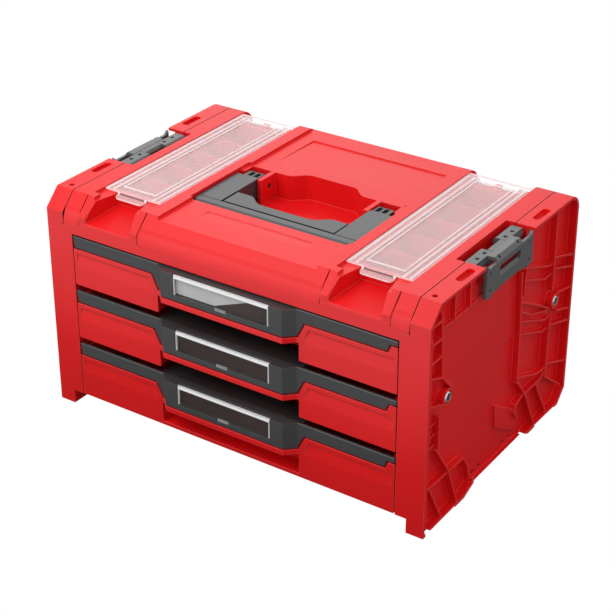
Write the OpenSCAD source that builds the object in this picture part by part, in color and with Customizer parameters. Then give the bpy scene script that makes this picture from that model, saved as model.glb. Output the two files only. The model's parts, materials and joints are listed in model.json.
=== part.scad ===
// Portable tool box with three drawers, two clear-lidded organizers, a folding handle and side latches.
// Millimetres. +X is the box's right, -Y its front, +Z up. The origin lies on the surface that the box
// stands on, in the middle of the space that the box covers.

/* [Case] */
// Width over both end panels
case_w = 450; // [420:5:480]
// Depth from the plane of the drawer fronts to the back
case_d = 300; // [280:5:330]
// Height of the end panels
case_h = 245; // [240:1:260]
// Height of the feet under the drawers
foot_h = 16; // [12:1:20]
// Width of a foot, seen from the front
foot_w = 19; // [15:1:22]
// Wall of the moulded panels
wall = 2.6; // [2:0.1:3.2]

/* [End panels] */
// Width of the front post beside the drawers
post_w = 31.6; // [29:0.2:34]
// Width of the flange on top of an end panel
flange_w = 21.5; // [19:0.5:24]
// Height of the rim and ribs over the recessed side plate
rim_out = 9; // [6:0.5:11]
// Thickness of the rim
rim_t = 3; // [2.2:0.1:4]
// Thickness of the ribs
rib_t = 1.8; // [1.2:0.1:2.6]
// Leg of the sloped corner at the top front
slope_c = 18; // [12:1:24]
// Radius of the corner at the top back
back_r = 18; // [12:1:22]
// Radius that rounds the header into its slope
header_r = 28; // [15:1:32]
// Leg of the sloped corner at the bottom back
heel_c = 15; // [10:1:18]
// Width of the gap in the rim between the feet
arch_w = 98; // [80:2:110]
// Height of the screw bosses above the ground
boss_z = 137; // [120:1:150]
// Distance from the middle of the depth to a screw boss
boss_off = 111; // [100:1:120]
// Length of the oblong pockets in the top flange
oblong_l = 28; // [20:1:32]
// Distance from the middle of the depth to the front oblong pocket
oblong_in = 73; // [70:1:78]

/* [Top cover] */
// Height of the header above the drawers
header_h = 39.5; // [36:0.5:44]
// Drop of the middle of the deck below the end panels
deck_drop = 3; // [2:0.5:4]
// Width of the raised bars beside the organizer lids
bar_w = 15; // [10:1:16]
// Depth of the handle well under the deck
well_h = 28; // [25:0.5:30]
// Depth of the shallow sunk panels on the deck, at their back edge
line_deep = 1.4; // [0.6:0.1:1.8]

/* [Organizers] */
// Distance from the outside of the box to the middle of a lid
lid_side = 79.5; // [78:0.5:81]
// Width of a lid
lid_w = 73; // [68:1:74]
// Length of a lid
lid_l = 238; // [220:2:240]
// Thickness of a lid
lid_t = 1.8; // [1.2:0.1:2]
// Distance from the drawer fronts to the lid's front edge
lid_front = 43; // [41:1:46]
// Width of a lid's finger tab
tab_w = 36; // [28:1:38]
// Depth of an organizer tray
tray_h = 31; // [24:1:33]
// Wall of an organizer tray
tray_t = 1.6; // [1.2:0.1:2.2]
// Cross dividers in each organizer tray
tray_walls = 4; // [2:1:6]

/* [Handle] */
// Width over the handle's arms
handle_w = 190; // [184:1:192]
// Width of an arm
arm_w = 27; // [24:1:29]
// Distance from the pivot to the front of the handle
handle_l = 88; // [84:1:90]
// Depth of the handle bar
bar_h = 16; // [12:1:18]
// Distance from the drawer fronts to the handle's pivot
handle_back = 162; // [158:1:166]
// Drop of the handle's pivot below the deck
pivot_drop = 11; // [10:0.5:12]
// Radius of the handle's pins
pin_r = 3; // [2:0.25:3.5]

/* [Drawers] */
// Distance from one drawer to the next
pitch = 62.6; // [61.4:0.2:63]
// Height of the two upper drawer fronts
front_h = 55; // [52:0.5:56]
// Thickness of a drawer front
front_t = 3; // [2.4:0.2:4]
// Gap between a drawer front and the post beside it
side_gap = 1.5; // [0.4:0.1:1.8]
// Gap between the header and the top drawer
head_gap = 2; // [1:0.2:3]
// Half width of the finger recess under a label holder
finger_hw = 84.5; // [83:0.5:92]
// Depth of the finger recess
finger_d = 22; // [16:1:26]
// Height of the dark strip along a drawer front
strip_h = 12.6; // [10:0.2:14]
// Wall of a drawer
drawer_t = 2.4; // [1.8:0.1:3]
// Clearance between the drawer and the back panel
drawer_back = 12; // [8:1:20]
// Thickness of the sliding rail on a drawer's side
rail_t = 3; // [2:0.25:4]
// Drop of the sliding rail below the top of the drawer front
rail_drop = 16; // [14:0.5:20]
// Running clearance above and below the sliding rail
rail_gap = 0.3; // [0.2:0.05:0.5]

/* [Label holders] */
// How far the label holders stand out from the drawer fronts
pod_out = 10; // [8:0.5:12]
// Half width of a label holder's front face
pod_hw = 72; // [68:0.5:76]
// Height of a label holder
pod_h = 28.5; // [27:0.5:30]
// Height of the red lip under a label holder
lip_h = 5.6; // [4:0.2:7]
// Half width of the clear window
lens_hw = 56.4; // [50:0.2:60]
// Height of the clear window
lens_h = 20; // [18:0.5:22]
// Thickness of the clear window
lens_t = 1.6; // [1.2:0.1:2]
// Radius of the bead along the window's hinged edge
bead_r = 1.7; // [1.5:0.05:2]

/* [Side latches] */
// Width of a latch, along the depth of the box
latch_w = 96; // [88:1:100]
// Height of the latch flange that hangs outside
latch_h = 35; // [30:1:38]
// Thickness of the latch
latch_t = 3.2; // [2.4:0.1:4]
// Distance from the outside to the latch's pin
latch_in = 17.5; // [16:0.5:18]
// Radius of the latch's pin
latch_pin_r = 1.9; // [1.5:0.1:2.2]

/* [Hidden] */

$fn = 48;
red = [0.83, 0.10, 0.10];
dark = [0.20, 0.21, 0.21];
clear = [0.93, 0.86, 0.87, 0.45];
steel = [0.72, 0.72, 0.74];
card = [0.24, 0.19, 0.18];

// Clearances
seam = 0.3;          // between fixed panels
end_seam = 0.8;      // between the cover and the end panels
line_gap = 1.7;      // between the dark trim and the red front
running = 0.1;       // round a pin that turns
tight = 0.02;        // round a pin that is pressed in
eps = 0.01;
k45 = sqrt(2) - 1;   // tangent of half of 45 degrees, for corners with a sloped face

// Main planes
hw = case_w / 2;
fy = pod_out - (case_d + pod_out) / 2;   // plane of the drawer fronts
by = fy + case_d;                        // back of the case
mid_y = (fy + by) / 2;
seam_x = hw - flange_w;                  // joint between cover and end panel
open_hw = hw - post_w;                   // half width of the drawer opening
panel_x = hw - rim_out;                  // outer face of the recessed side plate
plate_x = panel_x - wall;                // its inner face
foot_x = hw - foot_w;                    // inner face of the feet
arch_y0 = mid_y + 6 - arch_w / 2;        // gap in the rim between the feet
arch_y1 = arch_y0 + arch_w;
kick_y = arch_y0 - 25.5;                 // where the rim starts to rise, behind the front foot
kick_end = arch_y0 - 8;                  // where it ends
kick_z = 7;                              // and how high it is there
post_d = 5;                              // depth of the post beside the drawers
head_z = case_h - header_h;              // lower edge of the header
deck_z = case_h - deck_drop;             // middle of the deck
well_z = deck_z - well_h;                // floor of the handle well
post_z = head_z + 8.5;                   // top of the wide part of the post

// Drawers, counted from the top
front_hw = open_hw - side_gap;
tray_hw = open_hw - 6.4;                 // outside of the drawer's walls
tray_rear = by - drawer_back;
strip_end_h = 5;                         // height of the strip's outermost end
strip_end_w = 8.2;                       // length of that end
strip_slant = 3.4;                       // slope of the strip's end below it
pod_foot = 8;                            // slope of the label holder's lower corner
bead_inset = 0.6;                        // bead below the holder's top, and behind its face
bead_drop = bead_inset + bead_r;         // hinge line of the window below the holder's top
sill_gap = 0.6;
screw_r = 1.8;                           // shank of an end screw
head_r = 6;                              // its head
seat_x = hw - 2.8;                       // where its head sits on the boss
boss_in = 6;                             // boss on the inner wall that an end screw bites in
cap_t = 4;                               // cap of the trim over the drawer's front wall
cap_hw = finger_hw + drawer_t;
front_lip = 0.9;                         // top edge of a drawer front, before the channel behind it
function top_of(i) = head_z - head_gap - i * pitch;
function foot_of(i) = i < 2 ? top_of(i) - front_h : foot_h + sill_gap;
low_floor = 8.1;                         // the lowest front reaches this far below its drawer's floor
function floor_of(i) = foot_of(i) + (i < 2 ? 1.4 : low_floor);
function divider_top(i) = top_of(i) - 15.2;
function lip_top(i) = top_of(i) - pod_h - line_gap;
function lip_foot(i) = lip_top(i) - lip_h;
divider_x = 62;                          // dividers in a drawer, either side of the middle
divider_t = 1.8;
pod_front = fy - pod_out;

// Organizer lids
lid_x = hw - lid_side;                   // middle of a lid
lid_y0 = fy + lid_front;
lid_y1 = lid_y0 + lid_l;
lid_z = deck_z + 0.3;                    // underside of a lid
lid_rib = deck_drop - 0.3 - lid_t;       // height of the ribs on a lid
lid_hw = lid_w / 2;
lid_pin_r = 1.5;
lid_pin_y = lid_y1 - 5.5;
lid_pin_z = deck_z - 4;
lid_lug_x = 27;                          // lugs, either side of the lid's middle
lid_lug_w = 7;
scoop_in = 0.4;                          // back wall of a finger scoop, in front of the lid's edge
tray_hx = lid_hw - 4.5;                  // half width of an organizer tray
tray_y0 = lid_y0 + 6;
tray_y1 = lid_y1 - 21;
tray_top = deck_z - 0.4;
hang_w = 2.6;                            // flange that the tray hangs by
hang_t = 1.4;
collar_h = 7;                            // collar under the deck round a tray
trough_y = tray_y1 + hang_w + 1.6;       // hinge trough behind the tray
trough_z = deck_z - 14;
ear_w = 6;                               // ears that hold a lid's pin
ear_gap = 0.6;

// Handle
handle_hw = handle_w / 2;
arm_in = handle_hw - arm_w;
pivot_y = fy + handle_back;
pivot_z = deck_z - pivot_drop;
handle_y0 = pivot_y - handle_l;          // front of the handle
handle_gap = 1.5;                        // between the handle and its recess
line_y = handle_y0 + 14;                 // joint between frame and grip
knuckle_r = pivot_drop - 1;
knuckle_in = arm_in + 1.5;
knuckle_out = handle_hw - 7;
well_hw = handle_hw + handle_gap;
side_hw = knuckle_out + 2.5;             // half width of the recess round the pins
cheek_in = arm_in - 6;                   // inner face of the cheek that holds the pin
cheek_out = arm_in - 1;
well_y0 = handle_y0 - handle_gap;
well_ends_y = pivot_y + knuckle_r + handle_gap;
well_back_y = well_ends_y + 14;
arm_end_y = pivot_y - pivot_drop - 0.6;  // back of the arms' deep part
arm_room_y = pivot_y - 3;                // back of the recess that the arms turn in
cheek_y0 = arm_end_y - 3;                // front of the cheeks

// Latches
latch_x = hw - latch_in;                 // pin
latch_z = deck_z - 5;
latch_hw = latch_w / 2;
recess_hw = latch_hw + 2.4;
recess_in = open_hw;
ear_r = 6;                               // rounding of the ears about the pin
recess_z = latch_z - 15;
finger_w = 36;                           // length of an ear along the box
latch_top = case_h - 1;

// ---- helpers -------------------------------------------------------------------------------

module block(x0, x1, y0, y1, z0, z1) {
    translate([x0, y0, z0]) cube([x1 - x0, y1 - y0, z1 - z0]);
}

// Extrudes a drawing in (y, z) from x0 to x1
module along_x(x0, x1) {
    translate([x0, 0, 0]) rotate([90, 0, 90]) linear_extrude(height = x1 - x0) children();
}

// Extrudes a drawing in (x, z) from y0 to y1
module along_y(y0, y1) {
    translate([0, y1, 0]) rotate([90, 0, 0]) linear_extrude(height = y1 - y0) children();
}

// Extrudes a drawing in (x, y) from z0 to z1
module along_z(z0, z1) {
    translate([0, 0, z0]) linear_extrude(height = z1 - z0) children();
}

module rod_x(r, x0, x1, y, z) {
    translate([x0, y, z]) rotate([0, 90, 0]) cylinder(r = r, h = x1 - x0);
}

module rod_y(r, y0, y1, x, z) {
    translate([x, y1, z]) rotate([90, 0, 0]) cylinder(r = r, h = y1 - y0);
}

module both_sides() {
    children();
    mirror([1, 0, 0]) children();
}

// The same on both sides of the middle of the depth
module both_ends() {
    children();
    translate([0, 2 * mid_y, 0]) mirror([0, 1, 0]) children();
}

function smooth(t) = let (u = min(1, max(0, t))) u * u * (3 - 2 * u);

// ---- case ----------------------------------------------------------------------------------

// What a rounded corner of radius r takes off, between the directions a0 and a1 seen from its centre
module corner_off(y, z, r, a0, a1) {
    far = 3 * r;
    translate([y, z]) difference() {
        polygon([[0, 0], [far * cos(a0), far * sin(a0)], [far * cos((a0 + a1) / 2),
            far * sin((a0 + a1) / 2)] * 1.2,
                 [far * cos(a1), far * sin(a1)]]);
        circle(r = r, $fn = 96);
    }
}

// Side view of the box, drawn in by t
module side_view(t) {
    c = slope_c - (1 - k45) * t;
    q = heel_c - (1 - k45) * t;
    difference() {
        polygon([[fy + t, t], [fy + t, case_h - t - c], [fy + t + c, case_h - t], [by - t, case_h - t],
                 [by - t, t + q], [by - t - q, t]]);
        corner_off(by - back_r, case_h - back_r, back_r - t, 0, 90);
    }
}

// Places on the side plate: hundredths of the box's depth from its middle, and of its height from the ground
function at(y, z) = [mid_y + case_d * y / 100, case_h * z / 100];

// Side view of a run of ribs through the listed places
module rib_run(places) {
    for (k = [1:len(places) - 1])
        let (a = at(places[k - 1][0], places[k - 1][1]), b = at(places[k][0], places[k][1]))
        translate(a) rotate(atan2(b[1] - a[1], b[0] - a[0])) translate([0,
            -rib_t / 2]) square([norm(b - a), rib_t]);
}

// Ribs on the side plate, grouped by how far they stay below the rim
module ribs_below(h) {
    along_x(panel_x - eps, hw - h) children();
}

module side_ribs() {
    // raised flat field between the front boss and the bay
    block(panel_x - eps, panel_x + 1.2, at(-39, 0)[0], at(10, 0)[0], at(0, 53.7)[1], at(0, 86)[1]);
    // raised pad low down in front of the bay
    along_x(panel_x - eps, panel_x + 3.4) polygon([at(-1, 28), at(15, 16), at(16, 5), at(0, 17)]);
    ribs_below(1) {
        // inner wall behind the front rim, above and below the front boss
        rib_run([[-40.6, 66.5], [-42.6, 95]]);
        rib_run([[-41.6, 35.5], [-41.6, 50]]);
        // short ribs between the front rim and the inner wall
        for (z = [76.3, 84, 91.8]) rib_run([[-49.4, z], [-41.4, z]]);
        // arms that carry the front boss
        rib_run([[-49.4, 70.6], [-40.6, 66.5], [-34.5, 58.5]]);
        rib_run([[-49.4, 58.5], [-38.5, 53.5]]);
        // wall behind the bay, and the short ribs behind it
        rib_run([[34.4, 99.4], [34.6, 71], [34.5, 62]]);
        rib_run([[34.6, 50], [33.8, 40], [33.6, 22]]);
        rib_run([[34.6, 77.5], [49.4, 71.4]]);
        rib_run([[34.6, 72.2], [49.4, 65.7]]);
        rib_run([[39, 58.8], [49.4, 56]]);
        rib_run([[38.8, 50.2], [49.4, 45.8]]);
        rib_run([[34, 45.8], [49.4, 39.8]]);
        rib_run([[33.6, 27.4], [49.4, 19.6]]);
        // long ribs of the fans in the lower corners
        rib_run([[12.6, 31], [19, 20.8], [27.6, 0.7]]);
        rib_run([[33.6, 21], [46.6, 9]]);
        rib_run([[-42.6, 35.5], [-34.6, 21.5], [-27.4, 0.7]]);
    }
    ribs_below(2.2) {
        // wall in front of the bay
        rib_run([[11, 83], [11.6, 69], [12.3, 54], [12.4, 33], [12.8, 31]]);
        rib_run([[12.8, 32.8], [28.3, 25.7], [33.7, 25.3]]);
        // short ribs of the fans
        rib_run([[33.8, 24], [31, 21.4], [17, 21.6], [12.9, 20], [11.8, 17.4], [14, 12.6]]);
        rib_run([[27.6, 20.4], [37.4, 0.7]]);
        rib_run([[-49.4, 20.4], [-23.6, 18.8], [-20.6, 13.5], [-19, 6]]);
        rib_run([[-45.6, 19.6], [-37.2, 0.7]]);
    }
    ribs_below(3.4) {
        // double edge of the wall in front of the bay
        rib_run([[16, 84], [14.6, 77.4], [14.4, 70]]);
        // slanting ribs across the bay
        rib_run([[11.2, 84.5], [15.6, 82.4], [30.6, 75.1], [34.6, 74]]);
        rib_run([[14.6, 77.1], [29.6, 69.8], [34.6, 69.8]]);
        rib_run([[11.8, 68.8], [22.3, 62], [34.5, 53.5]]);
        rib_run([[12.4, 59.5], [31.6, 49.4], [34.4, 49.4]]);
        rib_run([[12.4, 53.5], [30.6, 44.5], [33.8, 44.5]]);
        // cross ribs in the band under the top rim
        for (y = [-23.5, -33]) rib_run([[y, 86.1], [y, 99.4]]);
    }
    ribs_below(5) {
        // lower edge of that band
        rib_run([[-42, 86.1], [-17.6, 86.1]]);
        // short ribs under the front boss
        for (z = [47, 42, 37]) rib_run([[-49.4, z], [-42, z]]);
        rib_run([[12.2, 64], [22.3, 57], [34, 52.5]]);
    }
}

function latch_foot() = latch_top - latch_h;

// Oblong pocket in the top flange, by its middle, drawn out by t and down to z0
module oblong(y, t, z0, z1) {
    r = 4.4 + t;
    half = oblong_l / 2 + t - r;
    along_z(z0, z1) for (s = [-1, 1]) translate([hw - 8.8, y + s * half]) circle(r = r);
    block(hw - 8.8 - r, hw - 8.8 + r, y - half, y + half, z0, z1);
}

module end_panel_body() {
    ledge_z = 2.6;                       // underside of the ledge
    pad_z = 1.6;                         // how far the rim stays above the ground beside the pads
    difference() {
        union() {
            // recessed plate
            along_x(plate_x, panel_x) side_view(0);
            // rim all round, from the cover's seam to the outside
            along_x(seam_x + end_seam / 2, hw) difference() {
                side_view(0);
                side_view(rim_t);
            }
            // front post beside the drawers
            block(open_hw, hw, fy, fy + post_d, foot_h, post_z);
            // inner wall of the foot
            block(foot_x, foot_x + wall, fy, by - heel_c, 0, foot_h);
            block(foot_x, plate_x + 1, fy, by, foot_h - wall, foot_h);
            // bosses round the end screws
            both_ends() {
                rod_x(head_r + 2.6, plate_x, hw - 0.6, mid_y - boss_off, boss_z);
                rod_x(5.5, open_hw + wall + boss_in, plate_x + eps, mid_y - boss_off, boss_z);
            }
            side_ribs();
            // shells of the oblong pockets
            for (y = [-oblong_in, oblong_in + 8]) oblong(mid_y + y, 1.6, case_h - 6, case_h - 1);
            // ends and floor of the latch's recess
            both_ends() block(seam_x + end_seam / 2, panel_x, mid_y - recess_hw - wall, mid_y - recess_hw,
                recess_z - wall, case_h - 1);
            block(seam_x + end_seam / 2, panel_x, mid_y - recess_hw - wall, mid_y + recess_hw + wall,
                recess_z - wall, recess_z);
        }
        // the foot is narrower than the post
        block(seam_x - 1, foot_x, fy - 1, by + 1, -1, foot_h);
        // gap in the rim between the feet, with sloped ends and a narrow ledge along the plate
        difference() {
            along_x(panel_x, hw + 1) polygon([[kick_y, -1], [arch_y1 + 13, -1], [arch_y1 + 12, 0],
                [arch_y1 - 13, 11], [arch_y1 - 14, foot_h], [kick_end, foot_h], [kick_end, kick_z + rim_t / 2],
                [kick_y, rim_t / 2]]);
            block(panel_x - 1, panel_x + 4.4, arch_y0 - 2, arch_y1 + 2, ledge_z, ledge_z + 2);
        }
        block(plate_x - 1, hw + 1, arch_y0, arch_y1, -1, ledge_z);
        // the rim clears the ground in front of and behind the pads
        along_x(hw - 5, hw + 1) polygon([[fy + post_d, -1], [fy + post_d, 6.5], [fy + post_d + 10, pad_z],
            [arch_y0 - 46, pad_z], [arch_y0 - 44, -1]]);
        along_x(hw - 5, hw + 1) polygon([[arch_y1 + 26, -1], [arch_y1 + 27, pad_z + 1], [by - heel_c - 10, pad_z],
            [by - heel_c - 4, -1]]);
        // slots in the plate that another box's latches catch in
        for (y = [arch_y0 + 5, arch_y0 + 18, arch_y1 - 30, arch_y1 - 16])
            block(plate_x - 1, panel_x + 1, y - 3.5, y + 3.5, foot_h - 8.6, foot_h - 4.8);
        // room for the latch
        block(seam_x - 1, hw + 1, mid_y - recess_hw, mid_y + recess_hw, recess_z, case_h + 1);
        both_ends() rod_y(latch_pin_r + tight, mid_y - recess_hw - wall - 1, mid_y - recess_hw + 1,
            latch_x, latch_z);
        // oblong pockets and a round hole in the top flange
        for (y = [-oblong_in, oblong_in + 8]) oblong(mid_y + y, 0, case_h - 4.4, case_h + 1);
        translate([hw - 12, fy + 27, case_h - 4]) cylinder(r = 3, h = 6);
        // end screws: seats for the heads and clearance for the shanks
        both_ends() {
            rod_x(head_r + 0.6, seat_x, hw + 1, mid_y - boss_off, boss_z);
            rod_x(2.1, seam_x - 6, hw, mid_y - boss_off, boss_z);
        }
    }
}

// End panel with the rising end of its rim behind the front foot
module end_panel_solid() union() {
    end_panel_body();
    along_x(panel_x - 1, hw) polygon([[kick_y - 1.5, 0.2], [kick_end, kick_z], [kick_end, kick_z + rim_t],
        [kick_y - 1.5, rim_t - 0.2]]);
    // wall from there to the plate
    along_z(kick_z + 0.3, foot_h - 2) polygon([[panel_x - 1, kick_end - 6.5], [hw - 0.5, kick_end - 2.4],
        [hw - 0.5, kick_end - 0.2], [panel_x - 1, kick_end - 4.3]]);
}

module end_panel_right() color(red) end_panel_solid();

module end_panel_left() color(red) mirror([1, 0, 0]) end_panel_solid();

// Inner wall that carries the drawers' rails
module side_wall_solid() {
    wall_top = head_z - 0.6;
    wall_foot = foot_h + wall + 0.2;
    difference() {
        union() {
            block(open_hw + 0.3, open_hw + 0.3 + wall, fy + 5.3, by - wall - 0.8, wall_foot, wall_top);
            for (i = [0:2])
                for (z = [top_of(i) - rail_drop - rail_gap - 3.4, top_of(i) - rail_drop + rail_t + rail_gap])
                block(tray_hw + 1.2, open_hw + 0.4, fy + 9, by - wall - 0.8, z, z + 3.4);
            both_ends() rod_x(5.5, open_hw + wall, open_hw + wall + boss_in - 0.2, mid_y - boss_off, boss_z);
        }
        both_ends() rod_x(screw_r + tight, open_hw + 1.4, open_hw + wall + boss_in + 2, mid_y - boss_off,
            boss_z);
    }
}

module side_wall_right() color(red) side_wall_solid();

module side_wall_left() color(red) mirror([1, 0, 0]) side_wall_solid();

module back_panel() color(red) {
    x = seam_x - seam / 2;
    z1 = case_h - back_r - 9 - seam;
    difference() {
        union() {
            block(-x, x, by - wall - 0.5, by - 0.5, foot_h + wall + 0.2, z1);
            // raised frame and uprights
            for (z = [foot_h + wall + 0.2, z1 - 6]) block(-x, x, by - 1, by, z, z + 6);
            for (s = [-1, 0, 1]) block(s * (x - 8) - 8, s * (x - 8) + 8, by - 1, by, foot_h + wall + 0.2, z1);
        }
        // shallow fields with ribs standing in them
        both_sides() for (k = [0:4])
            block(24 + k * 32, 48 + k * 32, by - 1.4, by + 1, foot_h + 24, z1 - 24);
    }
}

module bottom_panel() color(red) {
    x = foot_x - seam / 2;
    difference() {
        union() {
            block(-x, x, fy + post_d + seam, by - rim_t - 0.4, foot_h, foot_h + wall);
            // stiffening ribs on the underside
            for (s = [-2:2])
                translate([s * x * 0.39, 0, 0]) block(-1, 1, fy + 20, by - 20, foot_h - 4, foot_h + eps);
            for (y = [fy + 20, mid_y, by - 22]) block(-x + 20, x - 20, y, y + 2, foot_h - 4, foot_h + eps);
        }
    }
}

module end_screw() {
    shoulder_x = seat_x + 1;
    difference() {
        union() {
            // head with a sloped shoulder
            rod_x(head_r, seat_x, shoulder_x, 0, 0);
            translate([shoulder_x - eps, 0, 0]) rotate([0, 90, 0]) cylinder(r1 = head_r, r2 = head_r - 1.4,
                h = 1.6);
            rod_x(screw_r, open_hw + wall + 1.5, seat_x + 0.1, 0, 0);
        }
        // round socket
        rod_x(head_r - 2.4, seat_x + 0.8, hw + 1, 0, 0);
    }
}

module end_screws() color(steel) both_sides() both_ends() translate([0, mid_y - boss_off, boss_z]) end_screw();

// ---- top cover -----------------------------------------------------------------------------

// Side view of the cover, with its top at z and drawn in by t. Its inside is left open below.
module cover_view(z, t, foot) {
    y0 = fy + slope_c - (case_h - z) + k45 * t;
    difference() {
        polygon([[fy + t, foot], [fy + t, case_h - slope_c - k45 * t], [y0, z - t], [by - t, z - t],
            [by - t, foot]]);
        corner_off(by - back_r, case_h - back_r, back_r - t, 0, 90);
        // this arc lies a hair towards the corner, so that it crosses both faces cleanly
        corner_off(fy + header_r - 0.11, case_h - slope_c - k45 * header_r + 0.046, header_r - t, 180, 135);
    }
}

// Back wall of the handle well: a shallow bay in the middle
function well_back(x) = well_back_y - (well_back_y - well_ends_y) * smooth((abs(x) - 26) / 20);

module well_plan() {
    polygon(concat(
        [[-cheek_in, cheek_y0 - 1], [cheek_in, cheek_y0 - 1]],
        [for (k = [0:24]) let (x = cheek_in - k * cheek_in / 12) [x, well_back(x)]]));
}

// Hollow finger scoop under a lid's tab
module scoop() {
    back_y = lid_y0 - scoop_in;
    intersection() {
        along_x(lid_x - 34, lid_x + 34)
            polygon([[fy - 1, case_h - 24], [back_y, case_h - 15.5], [back_y, case_h + 2], [fy - 1,
                case_h + 2]]);
        along_z(case_h - 30, case_h + 4)
            polygon([[lid_x - 29, fy - 1], [lid_x + 29, fy - 1], [lid_x + 20, back_y], [lid_x - 20, back_y]]);
    }
}

// Solid behind the scoop, so that the header stays closed
module scoop_back() {
    back_y = lid_y0 - scoop_in;
    intersection() {
        along_x(lid_x - 34, lid_x + 34)
            polygon([[fy + 1, case_h - 24 - wall], [back_y + wall, case_h - 15.5 - wall], [back_y + wall,
                deck_z - 1],
                     [fy + slope_c - deck_drop, deck_z - 1], [fy + 1, case_h - slope_c - 1]]);
        along_z(case_h - 30, case_h + 4)
            polygon([[lid_x - 29 - wall, fy], [lid_x + 29 + wall, fy], [lid_x + 20 + wall, back_y + wall],
                [lid_x - 20 - wall, back_y + wall]]);
    }
}

// Raised rib that borders a scoop and runs down the header
module header_rib(x) {
    along_x(x - 4, x + 4) polygon([[fy + 0.2, case_h - 27], [fy + 0.1, case_h - slope_c + 0.4],
        [fy + slope_c - 0.4, case_h],
        [fy + slope_c + 8, case_h], [fy + slope_c + 8, deck_z - 1], [fy + slope_c - 4, deck_z - 1],
            [fy + 1, case_h - 24]]);
}

// Narrow groove down the header beside a rib
module header_groove(x) {
    along_x(x - 0.8, x + 0.8) polygon([[fy - 1, case_h - 29], [fy + 1.2, case_h - 29], [fy + 1.2,
        case_h - slope_c - 0.5],
        [fy + slope_c + 0.5, deck_z - 1.2], [fy + slope_c + 0.5, case_h + 2], [fy - 1, case_h + 2]]);
}

// A shallow panel sunk into the deck, deepest at its back edge
module deck_panel(x0, x1, y0, y1, deep) {
    along_x(x0, x1) polygon([[y0, deck_z - 0.15], [y1, deck_z - deep], [y1, deck_z + 1], [y0, deck_z + 1]]);
}

// Ear in a hinge trough, rounded about the lid's pin
module lid_ear(x) {
    ear_r = deck_z - lid_pin_z;
    block(x - ear_w / 2, x + ear_w / 2, trough_y - 1, lid_pin_y, trough_z - 1, deck_z);
    block(x - ear_w / 2, x + ear_w / 2, lid_pin_y - 1, lid_pin_y + 2.3, trough_z - 1, lid_pin_z);
    rod_x(ear_r, x - ear_w / 2, x + ear_w / 2, lid_pin_y, lid_pin_z);
}

module top_cover() color(red) {
    x1 = seam_x - end_seam / 2;
    flat_in = lid_x + lid_hw + 0.5;          // inner edge of the flat beside a lid
    bar_out = lid_x - lid_hw - 0.5;          // outer edge of the raised bar
    bar_in = bar_out - bar_w;
    difference() {
        union() {
            difference() {
                union() {
                    along_x(-x1, x1) cover_view(deck_z, 0, head_z);
                    both_sides() along_x(flat_in, x1) cover_view(case_h, 0, head_z);
                    both_sides() along_x(bar_in, bar_out) cover_view(case_h, 0, head_z);
                }
                // hollow inside
                along_x(-x1 + wall, x1 - wall) cover_view(deck_z, wall, head_z - 1);
                // back edge and lower corners, where the posts and the back panel take over
                block(-x1 - 1, x1 + 1, fy + wall + 8, by + 1, head_z - 1, case_h - back_r - 9);
                both_sides() block(open_hw - 0.3, x1 + 1, fy - 1, fy + 12, head_z - 1, post_z + 0.3);
            }
            intersection() {
                along_x(-x1, x1) cover_view(case_h, 0, head_z);
                both_sides() {
                    // hinge trough behind the organizer tray
                    block(bar_out - wall, flat_in + wall, trough_y - wall, by, trough_z - wall, deck_z - 1);
                    // collar round the organizer tray
                    block(lid_x - tray_hx - hang_w, lid_x + tray_hx + hang_w, tray_y0 - hang_w,
                        tray_y1 + hang_w, deck_z - collar_h, deck_z - 1);
                }
            }
            // walls round the handle well
            block(-well_hw - wall, well_hw + wall, well_y0 - wall, well_back_y + wall, well_z - wall,
                deck_z - 1);
            // walls of the latch recesses
            both_sides() block(recess_in - wall, x1, mid_y - recess_hw - wall, mid_y + recess_hw + wall,
                recess_z - wall, case_h - 1);
            both_sides() scoop_back();
            both_sides() for (s = [-1, 1]) header_rib(lid_x + s * 33);
        }
        // handle well: pocket, arms and front bar
        along_z(well_z, deck_z + 1) well_plan();
        block(-well_hw, well_hw, well_y0, cheek_y0, well_z, case_h + 1);
        both_sides() block(cheek_out, well_hw, cheek_y0 - 1, arm_room_y, well_z, case_h + 1);
        both_sides() block(cheek_out, well_hw, cheek_y0, pivot_y + pivot_drop + handle_gap, deck_z, case_h + 1);
        both_sides() block(cheek_out, side_hw, cheek_y0, well_ends_y, well_z, deck_z + 1);
        both_sides() rod_x(pin_r + tight, cheek_in - 1, side_hw + 5, pivot_y, pivot_z);
        // openings for the organizer trays
        both_sides() block(lid_x - tray_hx - seam, lid_x + tray_hx + seam, tray_y0 - seam, tray_y1 + seam,
            head_z, deck_z + 1);
        both_sides() block(lid_x - tray_hx - hang_w - seam, lid_x + tray_hx + hang_w + seam,
            tray_y0 - hang_w - seam, tray_y1 + hang_w + seam,
              tray_top - hang_t, deck_z + 1);
        // hinge troughs, open at the back, round the ears
        both_sides() difference() {
            block(bar_out, flat_in, trough_y, by + 1, trough_z, case_h + 1);
            for (x = [-1, 0, 1]) lid_ear(lid_x + x * (lid_lug_x + (lid_lug_w + ear_w) / 2 + ear_gap));
        }
        both_sides() rod_x(lid_pin_r + tight, lid_x - lid_hw, lid_x + lid_hw, lid_pin_y, lid_pin_z);
        both_sides() scoop();
        both_sides() for (x = [lid_x - 38, lid_x + 38]) header_groove(x);
        // room for the latches
        both_sides() block(recess_in, x1 + 1, mid_y - recess_hw, mid_y + recess_hw, recess_z, case_h + 1);
        // sunk panels on the deck, behind and in front of the handle
        deck_panel(-0.8 * handle_hw, 0.97 * handle_hw, well_back_y + 14, by - back_r - 16, line_deep);
        deck_panel(-0.67 * handle_hw, 0.64 * handle_hw, well_y0 - 26, well_y0 - 13, line_deep / 2);
    }
}

// ---- organizers ----------------------------------------------------------------------------

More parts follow.
